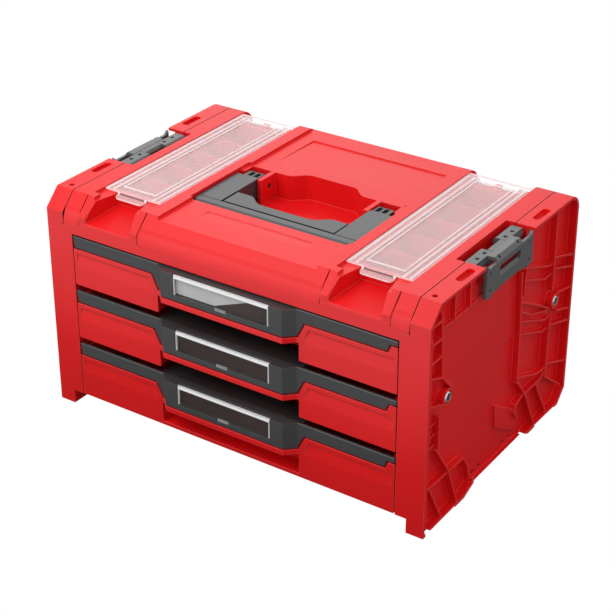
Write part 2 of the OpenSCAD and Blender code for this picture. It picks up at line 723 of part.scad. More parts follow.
module organizer_tray_solid() {
    z0 = tray_top - tray_h;
    difference() {
        union() {
            block(lid_x - tray_hx, lid_x + tray_hx, tray_y0, tray_y1, z0, tray_top);
            block(lid_x - tray_hx - hang_w, lid_x + tray_hx + hang_w, tray_y0 - hang_w, tray_y1 + hang_w,
                tray_top - hang_t, tray_top);
        }
        block(lid_x - tray_hx + tray_t, lid_x + tray_hx - tray_t, tray_y0 + tray_t, tray_y1 - tray_t,
            z0 + tray_t, deck_z + 1);
    }
}

module organizer_tray_right() color(red) organizer_tray_solid();

module organizer_tray_left() color(red) mirror([1, 0, 0]) organizer_tray_solid();

module tray_dividers_solid() {
    z0 = tray_top - tray_h + tray_t;
    inside = tray_y1 - tray_y0 - 2 * tray_t;
    for (k = [1:tray_walls]) let (y = tray_y0 + tray_t + k * inside / (tray_walls + 1))
        block(lid_x - tray_hx + tray_t + 0.2, lid_x + tray_hx - tray_t - 0.2, y - 0.7, y + 0.7, z0, deck_z - 3);
}

module tray_dividers_right() color(red) tray_dividers_solid();

module tray_dividers_left() color(red) mirror([1, 0, 0]) tray_dividers_solid();

// Clear lid with raised long ribs, a framed field, two hinge lugs and a finger tab
module organizer_lid_solid() {
    z1 = lid_z + lid_t;
    field_hw = lid_hw * 0.53;
    tab_y = lid_y0 - scoop_in - 1.8;         // the tab drops here, clear of the scoop's back wall
    tab_y0 = tab_y - 7.3;                    // its front edge
    tab_r = 5;
    difference() {
        union() {
            block(lid_x - lid_hw, lid_x + lid_hw, lid_y0, lid_y1, lid_z, z1);
            // long ribs, two to a side
            for (s = [-1, 1]) for (d = [4, 11])
                block(lid_x + s * (lid_hw - d) - 1.2, lid_x + s * (lid_hw - d) + 1.2, lid_y0, lid_y1 - 8,
                z1 - eps, z1 + lid_rib);
            // frame of the label field
            difference() {
                block(lid_x - field_hw - 1.6, lid_x + field_hw + 1.6, lid_y0 + 10, lid_y1 - 14, z1 - eps,
                    z1 + lid_rib);
                block(lid_x - field_hw, lid_x + field_hw, lid_y0 + 11.6, lid_y1 - 15.6, z1 - 1,
                    z1 + lid_rib + 1);
            }
            // finger tab: level over the front edge, then down to a lip with rounded corners
            intersection() {
                along_x(lid_x - tab_w / 2, lid_x + tab_w / 2) polygon([[lid_y0 + 3, z1], [tab_y, z1],
                    [tab_y - 0.8, z1 - 2.2], [tab_y0, z1 - 2.8], [tab_y0, z1 - 4.4], [tab_y + 0.6, z1 - 3.8],
                    [tab_y + 1.4, z1 - lid_t], [lid_y0 + 3, z1 - lid_t]]);
                along_z(z1 - 8, z1 + 1) {
                    for (s = [-1, 1])
                        translate([lid_x + s * (tab_w / 2 - tab_r), tab_y0 + tab_r]) circle(r = tab_r);
                    translate([lid_x - tab_w / 2 + tab_r, tab_y0]) square([tab_w - 2 * tab_r, 30]);
                    translate([lid_x - tab_w / 2, tab_y0 + tab_r]) square([tab_w, 24]);
                }
            }
            // hinge lugs
            for (s = [-1, 1]) {
                rod_x(3, lid_x + s * lid_lug_x - lid_lug_w / 2, lid_x + s * lid_lug_x + lid_lug_w / 2,
                    lid_pin_y, lid_pin_z);
                block(lid_x + s * lid_lug_x - lid_lug_w / 2, lid_x + s * lid_lug_x + lid_lug_w / 2,
                    lid_pin_y - 3, lid_pin_y + 3, lid_pin_z, lid_z + eps);
            }
        }
        rod_x(lid_pin_r + running, lid_x - lid_hw, lid_x + lid_hw, lid_pin_y, lid_pin_z);
    }
}

module organizer_lid_right() color(clear) organizer_lid_solid();

module organizer_lid_left() color(clear) mirror([1, 0, 0]) organizer_lid_solid();

module lid_pins() color(steel) both_sides()
    rod_x(lid_pin_r, lid_x - lid_hw + 0.4, lid_x + lid_hw - 0.4, lid_pin_y, lid_pin_z);

// ---- handle --------------------------------------------------------------------------------

module handle_frame() color(dark) {
    z0 = deck_z - bar_h;
    groove_w = 3;
    difference() {
        union() {
            // front bar with a sloped front edge
            along_x(-handle_hw, handle_hw) polygon([[handle_y0 + 4, z0], [handle_y0, z0 + 4], [handle_y0,
                deck_z - 2.4], [handle_y0 + 3, deck_z],
                [line_y - groove_w, deck_z], [line_y - groove_w, deck_z - 4], [line_y, deck_z - 4],
                    [line_y, z0]]);
            both_sides() {
                // arms, deeper towards the pivot
                along_x(arm_in, handle_hw) polygon([[line_y - 2, z0], [line_y - 2, deck_z], [arm_end_y,
                    deck_z], [arm_end_y, pivot_z - knuckle_r],
                    [line_y + 30, pivot_z - knuckle_r], [line_y + 18, z0]]);
                // narrower block round the pin
                rod_x(knuckle_r, knuckle_in, knuckle_out, pivot_y, pivot_z);
                block(knuckle_in, knuckle_out, arm_end_y - eps, pivot_y, pivot_z - knuckle_r,
                    pivot_z + knuckle_r);
            }
        }
        both_sides() {
            rod_x(pin_r + running, knuckle_in - 1, knuckle_out + 1, pivot_y, pivot_z);
            // two windows in the top of the block
            for (x = [knuckle_in + 2, knuckle_in + 9.5])
                block(x, x + 5, arm_end_y + 3, pivot_y + 1, pivot_z + knuckle_r - 3, deck_z + 1);
            // sloped front corners
            along_z(z0 - 1, deck_z + 1) polygon([[handle_hw + 1, handle_y0 - 1], [handle_hw + 1,
                handle_y0 + 6], [handle_hw - 6, handle_y0 - 1]]);
        }
    }
}

// Inner edge of the grip: fuller at both ends, where the hand is stopped
function grip_edge(x) = line_y + 12 + 12.5 * smooth((abs(x) - 30) / 20);

module handle_grip() color(dark) {
    gx = arm_in - 2;
    z0 = deck_z - bar_h - 1;
    difference() {
        along_z(z0, deck_z - 0.4) polygon(concat([[-gx, line_y], [gx, line_y]],
            [for (k = [0:28]) let (x = gx - k * gx / 14) [x, grip_edge(x)]]));
        // finger hollow under the grip
        block(-gx + 8, gx - 8, line_y + 5, line_y + 40, z0 - 1, z0 + 5);
    }
}

module handle_pins() color(steel) both_sides() rod_x(pin_r, cheek_in + 0.6, side_hw + 4.6, pivot_y, pivot_z);

// ---- latches -------------------------------------------------------------------------------

module latch_solid() {
    x_out = hw;
    x_face = hw - latch_t;
    bar_z = latch_foot() + 17.5;
    window_z = bar_z + 8;
    neck = latch_hw - finger_w;          // half width between the ears
    plate_hw = neck + 13;                // half width of the middle plate
    difference() {
        union() {
            // middle plate and the bend over the edge
            along_y(mid_y - plate_hw, mid_y + plate_hw) polygon([[latch_x + 5.5, latch_top - latch_t - 1],
                [latch_x + 5.5, latch_top - 0.6],
                [x_out - 4, latch_top], [x_out, latch_top - 4], [x_out, window_z], [x_face, window_z],
                [x_face, latch_top - 5], [x_face - 1.5, latch_top - latch_t - 1]]);
            // neck of the plate, over the pin between the ears
            along_y(mid_y - neck - 1.4, mid_y + neck + 1.4) polygon([[latch_x - 3.2, latch_z - 3.2],
                [latch_x - 3.2, latch_top - 3.6], [latch_x - 0.8, latch_top - 0.9],
                [latch_x + 6.5, latch_top - 0.9], [latch_x + 6.5, latch_z - 3.2]]);
            // flange outside: two arms and a bar with a sloped top
            both_ends() along_x(x_face, x_out) polygon([[mid_y - latch_hw, latch_foot() + 1],
                [mid_y - latch_hw + 12, latch_foot() - 1],
                [mid_y - latch_hw + 12, latch_foot() + 2], [mid_y - plate_hw + 4, latch_foot() + 2],
                    [mid_y - plate_hw + 4, latch_top - 4],
                [mid_y - latch_hw + 6, latch_top - 4], [mid_y - latch_hw + 2, latch_top]]);
            along_y(mid_y - plate_hw, mid_y + plate_hw) polygon([[x_face, latch_foot() + 2], [x_out - 0.8,
                latch_foot() + 2], [x_out, latch_foot() + 3],
                [x_out, bar_z - 3], [x_face + 0.6, bar_z], [x_face, bar_z]]);
            // ears round the pin
            both_ends() {
                rod_y(ear_r, mid_y - latch_hw + 0.8, mid_y - neck - 2, latch_x, latch_z);
                rod_y(ear_r - 1.6, mid_y - latch_hw + 0.8, mid_y - neck - 2, latch_x - 5, latch_z + 1.6);
                block(latch_x - 5, latch_x + 5, mid_y - latch_hw + 0.8, mid_y - neck - 2, latch_z - 2.6,
                    latch_z + ear_r);
                block(latch_x, latch_x + 8, mid_y - plate_hw, mid_y - neck - 2, latch_z - 2.6, latch_z + ear_r);
            }
        }
        rod_y(latch_pin_r + running, mid_y - latch_hw - 1, mid_y + latch_hw + 1, latch_x, latch_z);
        // square holes in the ears, the bend and the arms
        both_ends() {
            for (d = [13, 27])
                block(latch_x - 1.6, latch_x + 2, mid_y - latch_hw + d - 2, mid_y - latch_hw + d + 2,
                latch_z + 3.4, latch_top + 1);
            block(x_out - 4.6, x_out - 1.6, mid_y - plate_hw + 5, mid_y - plate_hw + 8, latch_top - 4,
                latch_top + 1);
            for (z = [latch_top - 10, latch_foot() + 7])
                block(x_out - 1.2, x_out + 1, mid_y - latch_hw + 7, mid_y - latch_hw + 10, z - 1.6, z + 1.6);
        }
    }
}

module latch_right() color(dark) latch_solid();

module latch_left() color(dark) mirror([1, 0, 0]) latch_solid();

module latch_pins() color(steel) both_sides()
    rod_y(latch_pin_r, mid_y - recess_hw - wall + 0.3, mid_y + recess_hw + wall - 0.3, latch_x, latch_z);

// ---- drawers -------------------------------------------------------------------------------

// Front of drawer i seen from the front, one half, with room for the dark trim. Only the right half has
// the step at the end of the strip.
function front_outline(i, step) = let (t = top_of(i), s = t - strip_h - line_gap) concat(
    [[finger_hw, foot_of(i)], [front_hw, foot_of(i)]],
    step ? [[front_hw, t - strip_end_h - line_gap], [front_hw - strip_end_w + line_gap,
        t - strip_end_h - line_gap],
            [front_hw - strip_end_w - strip_slant + line_gap, s]] : [[front_hw, s]],
    [[pod_hw + pod_out + pod_foot + line_gap, s], [pod_hw + pod_out + line_gap, lip_top(i)],
        [pod_hw + pod_out - 3, lip_top(i)],
     [pod_hw + pod_out - 3, lip_foot(i)], [finger_hw, lip_foot(i)]]);

module front_view(i) {
    polygon(front_outline(i, true));
    mirror([1, 0]) polygon(front_outline(i, false));
}

// Field sunk into a drawer front, with its top edge at z: deepest there, running out downwards
module front_field(z) {
    run = 15;
    x0 = pod_hw + pod_out + pod_foot + line_gap + 3.4;
    intersection() {
        along_x(pod_hw, front_hw) polygon([[fy - 1, z], [fy + 1.7, z], [fy, z - run], [fy - 1, z - run]]);
        along_y(fy - 2, fy + 3) polygon([[x0, z + 1], [front_hw - 3.6, z + 1], [front_hw - 3.6, z - run - 1],
            [x0 - 6.4, z - run - 1]]);
    }
}

// Plan of a label holder, from its front face back to y1
module pod_plan(y1) {
    polygon([[-pod_hw, pod_front], [pod_hw, pod_front], [pod_hw + pod_out, fy], [pod_hw + pod_out, y1],
             [-pod_hw - pod_out, y1], [-pod_hw - pod_out, fy]]);
}

module drawer(i) color(red) {
    t = top_of(i);
    floor_z = floor_of(i);
    rim_z = t - cap_t;
    wall_y = fy + front_t;                  // outside of the drawer's front wall
    recess_foot = i < 2 ? foot_of(i) - 1 : foot_of(i) + 4;
    hood_foot = i < 2 ? floor_z : foot_of(i) + 2.4;
    difference() {
        union() {
            // front plate, with a channel behind its top edge
            difference() {
                along_y(fy, fy + front_t + eps) front_view(i);
                along_y(fy + front_lip, fy + front_t + 1) difference() {
                    front_view(i);
                    translate([0, -4]) front_view(i);
                }
            }
            // sill that closes the lowest recess
            if (i == 2) block(-finger_hw - 1, finger_hw + 1, fy, fy + front_t, foot_of(i), foot_of(i) + 4);
            // box of the drawer
            difference() {
                block(-tray_hw, tray_hw, wall_y, tray_rear, floor_z, rim_z);
                block(-tray_hw + drawer_t, tray_hw - drawer_t, wall_y + drawer_t, tray_rear - drawer_t,
                    floor_z + drawer_t, rim_z + 1);
            }
            // hood round the finger recess
            block(-finger_hw - drawer_t, finger_hw + drawer_t, wall_y - eps, fy + finger_d + drawer_t,
                hood_foot, lip_top(i));
            // lip under the label holder
            along_z(lip_foot(i), lip_top(i)) pod_plan(wall_y);
            // sliding rails
            both_sides() block(tray_hw - eps, open_hw - 0.5, fy + 9, tray_rear, t - rail_drop,
                t - rail_drop + rail_t);
            // slots that hold the dividers at the back
            both_sides() for (s = [-1, 1])
                block(divider_x + s * (divider_t / 2 + 1.1) - 0.9,
                    divider_x + s * (divider_t / 2 + 1.1) + 0.9, tray_rear - drawer_t - 2.5,
                    tray_rear - drawer_t + eps,
                      floor_z + drawer_t - eps, divider_top(i) - 2.4);
        }
        // finger recess
        block(-finger_hw, finger_hw, fy - 1, fy + finger_d, recess_foot, lip_foot(i));
        both_sides() front_field(t - strip_h - line_gap - 4.6);
    }
}

// Dark trim of drawer i: the strips and the label holder
module drawer_trim(i) color(dark) {
    t = top_of(i);
    y0 = fy;
    y1 = fy + front_t;
    stepped = [[0, t], [front_hw, t], [front_hw, t - strip_end_h], [front_hw - strip_end_w, t - strip_end_h],
               [front_hw - strip_end_w - strip_slant, t - strip_h], [pod_hw + pod_out + pod_foot, t - strip_h],
               [pod_hw + pod_out, t - pod_h], [0, t - pod_h]];
    plain = [[0, t], [front_hw, t], [front_hw - 2, t - strip_h], [pod_hw + pod_out + pod_foot, t - strip_h],
             [pod_hw + pod_out, t - pod_h], [0, t - pod_h]];
    difference() {
        union() {
            along_y(y0, y1) {
                polygon(stepped);
                mirror([1, 0]) polygon(plain);
            }
            along_z(t - pod_h, t) pod_plan(y1);
            // cap over the front wall and the finger recess
            block(-cap_hw, cap_hw, y1 - eps, fy + finger_d + drawer_t + 2, t - cap_t, t - 0.4);
        }
        // sloped top edge of the strips
        both_sides() along_x(pod_hw + pod_out, front_hw + 1) polygon([[y0 - 1, t - 1.6], [y0 + 1.6, t + 1],
            [y0 - 1, t + 1]]);
        // pocket behind the window, open at the top for its hinge
        block(-lens_hw - 0.3, lens_hw + 0.3, pod_front - 1, pod_front + 2 * bead_r + bead_inset + 0.6,
            t - bead_drop - lens_h - 0.4, t + 1);
        // bores for the window's pins
        rod_x(1.1 + running, -lens_hw - 3.4, lens_hw + 3.4, pod_front + bead_drop, t - bead_drop);
        // notch under the window's tab
        block(-8, 8, pod_front - 1, pod_front + 1.6, t - bead_drop - lens_h - 2.4, t - bead_drop - lens_h + 1);
    }
}

// Clear label window with a bead along its hinged edge and a tab at the bottom
module label_window(i) color(clear) {
    t = top_of(i);
    z0 = t - bead_drop - lens_h;
    y0 = pod_front + bead_inset;
    difference() {
        union() {
            block(-lens_hw, lens_hw, y0, y0 + lens_t, z0, t - bead_drop);
            rod_x(bead_r, -lens_hw, lens_hw, pod_front + bead_drop, t - bead_drop);
            rod_x(1.1, -lens_hw - 3, lens_hw + 3, pod_front + bead_drop, t - bead_drop);
            block(-6.5, 6.5, y0 - 0.5, y0 + 1, z0 - 2, z0 + 2.6);
        }
        // thinner field inside a narrow frame
        block(-lens_hw + 1.6, lens_hw - 1.6, y0 - 1, y0 + 0.5, z0 + 3, t - bead_drop - bead_r - 0.4);
    }
}

// Card behind the window, against the back of the pocket
module label_card(i) color(card) {
    t = top_of(i);
    y1 = pod_front + 2 * bead_r + bead_inset + 0.6;
    block(-lens_hw + 0.6, lens_hw - 0.6, y1 - 0.5, y1, t - bead_drop - lens_h + 0.2, t - 2 * bead_drop);
}

module drawer_dividers(i) color(red) {
    z0 = floor_of(i) + drawer_t;
    both_sides() block(divider_x - divider_t / 2, divider_x + divider_t / 2,
        fy + finger_d + drawer_t + 0.2, tray_rear - drawer_t - 0.2, z0, divider_top(i));
}

top_cover();
end_panel_left();
end_panel_right();
side_wall_left();
side_wall_right();
back_panel();
bottom_panel();
end_screws();
organizer_tray_left();
organizer_tray_right();
tray_dividers_left();
tray_dividers_right();
organizer_lid_left();
organizer_lid_right();
lid_pins();
handle_frame();
handle_grip();
handle_pins();
latch_left();
latch_right();
latch_pins();
drawer(0);  // drawer_1
drawer(1);  // drawer_2
drawer(2);  // drawer_3
drawer_trim(0);  // drawer_trim_1
drawer_trim(1);  // drawer_trim_2
drawer_trim(2);  // drawer_trim_3
label_window(0);  // label_window_1
label_window(1);  // label_window_2
label_window(2);  // label_window_3
label_card(0);  // label_card_1
label_card(1);  // label_card_2
label_card(2);  // label_card_3
drawer_dividers(0);  // drawer_dividers_1
drawer_dividers(1);  // drawer_dividers_2
drawer_dividers(2);  // drawer_dividers_3
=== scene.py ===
"""Looks of the portable tool box: materials, edges, light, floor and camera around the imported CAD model.

Sizes and places are in metres, and angles in degrees. A box is its ranges of |x|, y and z, and then a share.
"""

import json
import math

import bpy
import numpy as np
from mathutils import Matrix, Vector

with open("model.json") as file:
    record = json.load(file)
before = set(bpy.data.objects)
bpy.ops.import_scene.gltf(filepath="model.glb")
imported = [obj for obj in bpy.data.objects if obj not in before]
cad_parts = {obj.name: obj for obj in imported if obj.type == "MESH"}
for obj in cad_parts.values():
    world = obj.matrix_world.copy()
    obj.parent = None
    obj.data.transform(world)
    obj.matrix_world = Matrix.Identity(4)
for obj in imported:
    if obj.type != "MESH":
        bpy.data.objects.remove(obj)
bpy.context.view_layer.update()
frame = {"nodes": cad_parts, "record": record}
nodes = frame["nodes"]


# ---- camera --------------------------------------------------------------------------------

# the place that the photograph was taken from, as fitted to the corners of the box in it
AZIMUTH = 33.8835
ELEVATION = 26.7684
DISTANCE = 1.66055
TARGET = (-0.00577, 0.005, 0.18156)
SENSOR_WIDTH_MM = 36.0
FOCAL_LENGTH_MM = 94.19
# the optical axis lies this share of the picture's width above its middle
AXIS_SHIFT = 0.1006
NEAREST_SEEN = 0.05
FARTHEST_SEEN = 50.0


def make_camera():
    """Puts the camera at the given angles and distance from a point on the box, and turns it to that point."""
    azimuth, elevation = math.radians(AZIMUTH), math.radians(ELEVATION)
    level = math.cos(elevation)
    back = Vector((math.sin(azimuth) * level, -math.cos(azimuth) * level, math.sin(elevation)))
    lens = bpy.data.cameras.new("camera")
    lens.sensor_width = SENSOR_WIDTH_MM
    lens.lens = FOCAL_LENGTH_MM
    lens.shift_y = -AXIS_SHIFT
    lens.clip_start = NEAREST_SEEN
    lens.clip_end = FARTHEST_SEEN
    camera = bpy.data.objects.new("camera", lens)
    camera.location = Vector(TARGET) + back * DISTANCE
    camera.rotation_euler = back.to_track_quat("Z", "Y").to_euler()
    bpy.context.scene.collection.objects.link(camera)
    bpy.context.scene.camera = camera


# ---- building blocks of the materials ------------------------------------------------------

def remap(tree, value, start, end, low=0.0, high=1.0):
    """Maps value from start..end to low..high, and holds it at low and high outside them."""
    node = tree.nodes.new("ShaderNodeMapRange")
    node.inputs["From Min"].default_value = start
    node.inputs["From Max"].default_value = end
    node.inputs["To Min"].default_value = low
    node.inputs["To Max"].default_value = high
    tree.links.new(value, node.inputs["Value"])
    return node.outputs["Result"]


def maths(tree, operation, a, b):
    """Joins two values, or a value and a number, with a maths operation."""
    node = tree.nodes.new("ShaderNodeMath")
    node.operation = operation
    for socket, value in zip(node.inputs, (a, b)):
        if isinstance(value, (int, float)):
            socket.default_value = value
        else:
            tree.links.new(value, socket)
    return node.outputs["Value"]


def strongest(tree, *shares):
    """The highest of the given shares."""
    whole = shares[0]
    for share in shares[1:]:
        whole = maths(tree, "MAXIMUM", whole, share)
    return whole


def band(tree, value, low, high, soft):
    """1 where value lies between low and high, falling to 0 over soft on both sides."""
    rise = remap(tree, value, low - soft, low)
    fall = remap(tree, value, high + soft, high)
    return maths(tree, "MULTIPLY", rise, fall)


def ramp(tree, fac, stops):
    """A colour ramp through (position, colour) stops, fed by fac."""
    node = tree.nodes.new("ShaderNodeValToRGB")
    elements = node.color_ramp.elements
    while len(elements) > 1:
        elements.remove(elements[-1])
    elements[0].position = stops[0][0]
    elements[0].color = (*stops[0][1], 1.0)
    for position, colour in stops[1:]:
        elements.new(position).color = (*colour, 1.0)
    tree.links.new(fac, node.inputs["Fac"])
    return node.outputs["Color"]


def over(tree, fac, under, top):
    """Lays top, a colour or another node's output, over the colour under, where fac is 1."""
    node = tree.nodes.new("ShaderNodeMix")
    node.data_type = "RGBA"
    tree.links.new(fac, node.inputs[0])
    tree.links.new(under, node.inputs[6])
    if isinstance(top, tuple):
        node.inputs[7].default_value = (*top, 1.0)
    else:
        tree.links.new(top, node.inputs[7])
    return node.outputs[2]


def axis_value(tree, coords, axis):
    """One axis of the given texture coordinates: 0 for x, 1 for y, 2 for z."""
    split = tree.nodes.new("ShaderNodeSeparateXYZ")
    tree.links.new(coords, split.inputs["Vector"])
    return split.outputs[axis]


def from_middle(tree, coords):
    """The distance from the box's middle plane, |x|."""
    return maths(tree, "ABSOLUTE", axis_value(tree, coords, 0), 0.0)


# the width over which a box's share falls to 0 outside it
BOX_SOFT = 0.00005


def in_boxes(tree, boxes):
    """Each box's share inside it, the highest where boxes overlap, and 0 elsewhere."""
    coords = tree.nodes.new("ShaderNodeTexCoord").outputs["Object"]
    axes = [from_middle(tree, coords), axis_value(tree, coords, 1), axis_value(tree, coords, 2)]
    parts = []
    for *ranges, part in boxes:
        for value, (low, high) in zip(axes, ranges):
            part = maths(tree, "MULTIPLY", band(tree, value, low, high, BOX_SOFT), part)
        parts.append(part)
    return strongest(tree, *parts)


# the slow drift in tone and gloss, and the height of the grain
DRIFT_SCALE = 9.0
DRIFT_DETAIL = 4.0
GRAIN_DETAIL = 3.0
GRAIN_HEIGHT = 0.0001
ROUNDING_SAMPLES = 8
# cosines between the true and the rounded normal, on a flat and on an edge
RIM_FLAT = 0.995
RIM_EDGE = 0.80


def grain_group():
    """Moulded grain with a soft edge radius: a bump from the noise Fine, laid on the rounded normal. Broad is
    the slow drift. Rim is 1 on edges and 0 on flats, by how far the rounded normal turns from the true one."""
    group = bpy.data.node_groups.new("moulded_grain", "ShaderNodeTree")
    for name in ("Scale", "Depth", "Edge"):
        group.interface.new_socket(name, in_out="INPUT", socket_type="NodeSocketFloat")
    group.interface.new_socket("Normal", in_out="OUTPUT", socket_type="NodeSocketVector")
    for name in ("Fine", "Broad", "Rim"):
        group.interface.new_socket(name, in_out="OUTPUT", socket_type="NodeSocketFloat")
    add, link = group.nodes.new, group.links.new
    given, result = add("NodeGroupInput"), add("NodeGroupOutput")
    coords = add("ShaderNodeTexCoord").outputs["Object"]
    fine = add("ShaderNodeTexNoise")
    fine.inputs["Detail"].default_value = GRAIN_DETAIL
    broad = add("ShaderNodeTexNoise")
    broad.inputs["Scale"].default_value = DRIFT_SCALE
    broad.inputs["Detail"].default_value = DRIFT_DETAIL
    rounding = add("ShaderNodeBevel")
    rounding.samples = ROUNDING_SAMPLES
    bump = add("ShaderNodeBump")
    bump.inputs["Distance"].default_value = GRAIN_HEIGHT
    turn = add("ShaderNodeVectorMath")
    turn.operation = "DOT_PRODUCT"
    link(coords, fine.inputs["Vector"])
    link(coords, broad.inputs["Vector"])
    link(given.outputs["Scale"], fine.inputs["Scale"])
    link(given.outputs["Edge"], rounding.inputs["Radius"])
    link(given.outputs["Depth"], bump.inputs["Strength"])
    link(fine.outputs["Fac"], bump.inputs["Height"])
    link(rounding.outputs["Normal"], bump.inputs["Normal"])
    link(rounding.outputs["Normal"], turn.inputs[0])
    link(add("ShaderNodeNewGeometry").outputs["True Normal"], turn.inputs[1])
    link(bump.outputs["Normal"], result.inputs["Normal"])
    link(fine.outputs["Fac"], result.inputs["Fine"])
    link(broad.outputs["Fac"], result.inputs["Broad"])
    link(remap(group, turn.outputs["Value"], RIM_FLAT, RIM_EDGE), result.inputs["Rim"])
    return group


GRAIN = grain_group()


def new_material(name, grain=None):
    """A material with its shader and a moulded grain group. The grain is its scale, depth and edge radius, and
    a skin without one keeps its plain normals."""
    mat = bpy.data.materials.new(name)
    mat.use_nodes = True
    tree = mat.node_tree
    shader = tree.nodes["Principled BSDF"]
    skin = tree.nodes.new("ShaderNodeGroup")
    skin.node_tree = GRAIN
    if grain:
        for socket, value in zip(("Scale", "Depth", "Edge"), grain):
            skin.inputs[socket].default_value = value
        tree.links.new(skin.outputs["Normal"], shader.inputs["Normal"])
    return mat, tree, shader, skin


def uneven_gloss(tree, shader, skin, low, high):
    """Lets the roughness drift between low and high."""
    tree.links.new(remap(tree, skin.outputs["Broad"], 0.0, 1.0, low, high), shader.inputs["Roughness"])


# ---- places on the box where shade and highlights are painted ------------------------------

DRAWER_TOPS = (0.2035, 0.1409, 0.0783)

# painted shade where the cover meets the end panels
END_SEAM = [((0.20305, 0.20395), (-0.2, 0.2), (0.2141, 0.3), 1.0)]
# painted shade in the groove round the handle's grip
GRIP_GROOVE = [((0.0, 0.06805), (-0.06005, -0.05695), (0.2, 0.24155), 1.0),
               ((0.06595, 0.06805), (-0.06005, -0.0324), (0.2, 0.24155), 1.0)]
# painted shade on the deep faces of the two upper finger recesses, and on the top of the trim in them
RECESS_Y = (-0.1415, -0.11)
RECESSES = [((0.0, 0.0848), RECESS_Y, (top - 0.056, top - 0.0355), 0.42) for top in DRAWER_TOPS[:2]]
CAPS = [((0.0, 0.088), RECESS_Y, (top - 0.0057, top + 0.0003), 0.35) for top in DRAWER_TOPS[1:]]
# beads and tabs of the three label windows, which carry painted highlights
POD_Y = (-0.156, -0.1495)
TAB_Y = (-0.156, -0.153)
BEADS = [((0.0, 0.0556), POD_Y, (top - 0.0046, top), 1.0) for top in DRAWER_TOPS]
WINDOW_TABS = [((0.0, 0.0066), TAB_Y, (top - 0.0245, top - 0.0212), 1.0) for top in DRAWER_TOPS]
# painted shade in the fold from which a lid's finger tab drops
TAB_FOLD = [((0.1295, 0.1615), (-0.1051, -0.1041), (0.2418, 0.2439), 0.9)]
# painted shade at the bottoms of the sockets in the end screws, a pair on each side
SCREW_Z = 0.137
SOCKET_REACH = 0.0037
SOCKETS = [((0.2222, 0.2231), (y - SOCKET_REACH, y + SOCKET_REACH),
            (SCREW_Z - SOCKET_REACH, SCREW_Z + SOCKET_REACH), 1.0) for y in (-0.106, 0.116)]

# the case's front, faces in front of FRONT_Y that look forward, within FRONT_FACING of the normal's y
FRONT_Y = (-0.2, -0.138)
FRONT_SOFT = 0.0005
FRONT_FACING = (-1.1, -0.9)
FACING_SOFT = 0.08
# heights that each painted fade of the front runs between, its share at the second height, and its tone: first
# a painted pinkish sheen of reflection, then painted shade
FRONT_PAINTED_LIGHT = [((0.07, 0.20), 0.85, (0.86, 0.046, 0.050)),
               ((0.12, 0.02), 0.5, (0.60, 0.006, 0.006))]


# ---- materials -----------------------------------------------------------------------------

WHITE = (1.0, 1.0, 1.0)
# painted shade is this share of the plastic's own tone
PAINTED_SHADE_SHARE = 0.08
# how far the roughness of the plastics and of the steels drifts to either side
PLASTIC_DRIFT = 0.05
STEEL_DRIFT = 0.04
# where on the drift the low and the high tone of a plastic or a steel are reached
TONE_ENDS = (0.3, 0.7)
CLEAR_ENDS = (0.2, 0.8)


def drifting(tree, fac, low, high, ends=TONE_ENDS):
    """A tone that drifts from low to high as fac goes from one end to the other."""
    return ramp(tree, fac, list(zip(ends, (low, high))))


def paint_front_sheen_and_shade(tree, tone):
    """Paints light on the upright faces of the box's front: a paler painted sheen towards the box's top and
    painted shade towards its foot.
    """
    coords = tree.nodes.new("ShaderNodeTexCoord")
    facing = band(tree, axis_value(tree, coords.outputs["Normal"], 1), *FRONT_FACING, FACING_SOFT)
    outer = band(tree, axis_value(tree, coords.outputs["Object"], 1), *FRONT_Y, FRONT_SOFT)
    front = maths(tree, "MULTIPLY", facing, outer)
    height = axis_value(tree, coords.outputs["Object"], 2)
    for (start, end), share, colour in FRONT_PAINTED_LIGHT:
        reach = remap(tree, height, start, end, 0.0, share)
        tone = over(tree, maths(tree, "MULTIPLY", front, reach), tone, colour)
    return tone


def plastic(name, low, high, rim, rim_share, rough, gloss, grain, painted_shade_boxes=(), painted_front_light=False):
    """Moulded plastic whose tone drifts between low and high and turns to rim along its edges as a painted
    highlight, with fine grain, soft edges and uneven gloss. In the given boxes it is darkened as painted
    shade, and it can take a painted sheen and painted shade on the box's front."""
    mat, tree, shader, skin = new_material(name, grain)
    tone = drifting(tree, skin.outputs["Broad"], low, high)
    # painted sheen high on the box's front and painted shade low on it
    if painted_front_light:
        tone = paint_front_sheen_and_shade(tree, tone)
    # the rim tone along the edges is a painted highlight
    tone = over(tree, remap(tree, skin.outputs["Rim"], 0.0, 1.0, 0.0, rim_share), tone, rim)
    # painted shade darkens the plastic in the given boxes
    if painted_shade_boxes:
        tone = over(tree, in_boxes(tree, painted_shade_boxes), tone, tuple(c * PAINTED_SHADE_SHARE for c in low))
    tree.links.new(tone, shader.inputs["Base Color"])
    uneven_gloss(tree, shader, skin, rough - PLASTIC_DRIFT, rough + PLASTIC_DRIFT)
    shader.inputs["Specular IOR Level"].default_value = gloss
    return mat


# the clear lids: how solid their flats, their upright faces and rib tops look, and where the rib tops begin;
# the flats' whitish haze is a painted reflection, and the white upright faces and rib tops are painted
# highlights
LID_FLATS = (0.24, 0.28)
LID_HIGHLIGHT_SOLID = 0.85
RIB_TOP_SHARE = 0.55
RIB_TOP_Z = (0.2447, 0.255)
RIB_TOP_SOFT = 0.0001
UPRIGHT = (-0.45, 0.45)
UPRIGHT_SOFT = 0.1


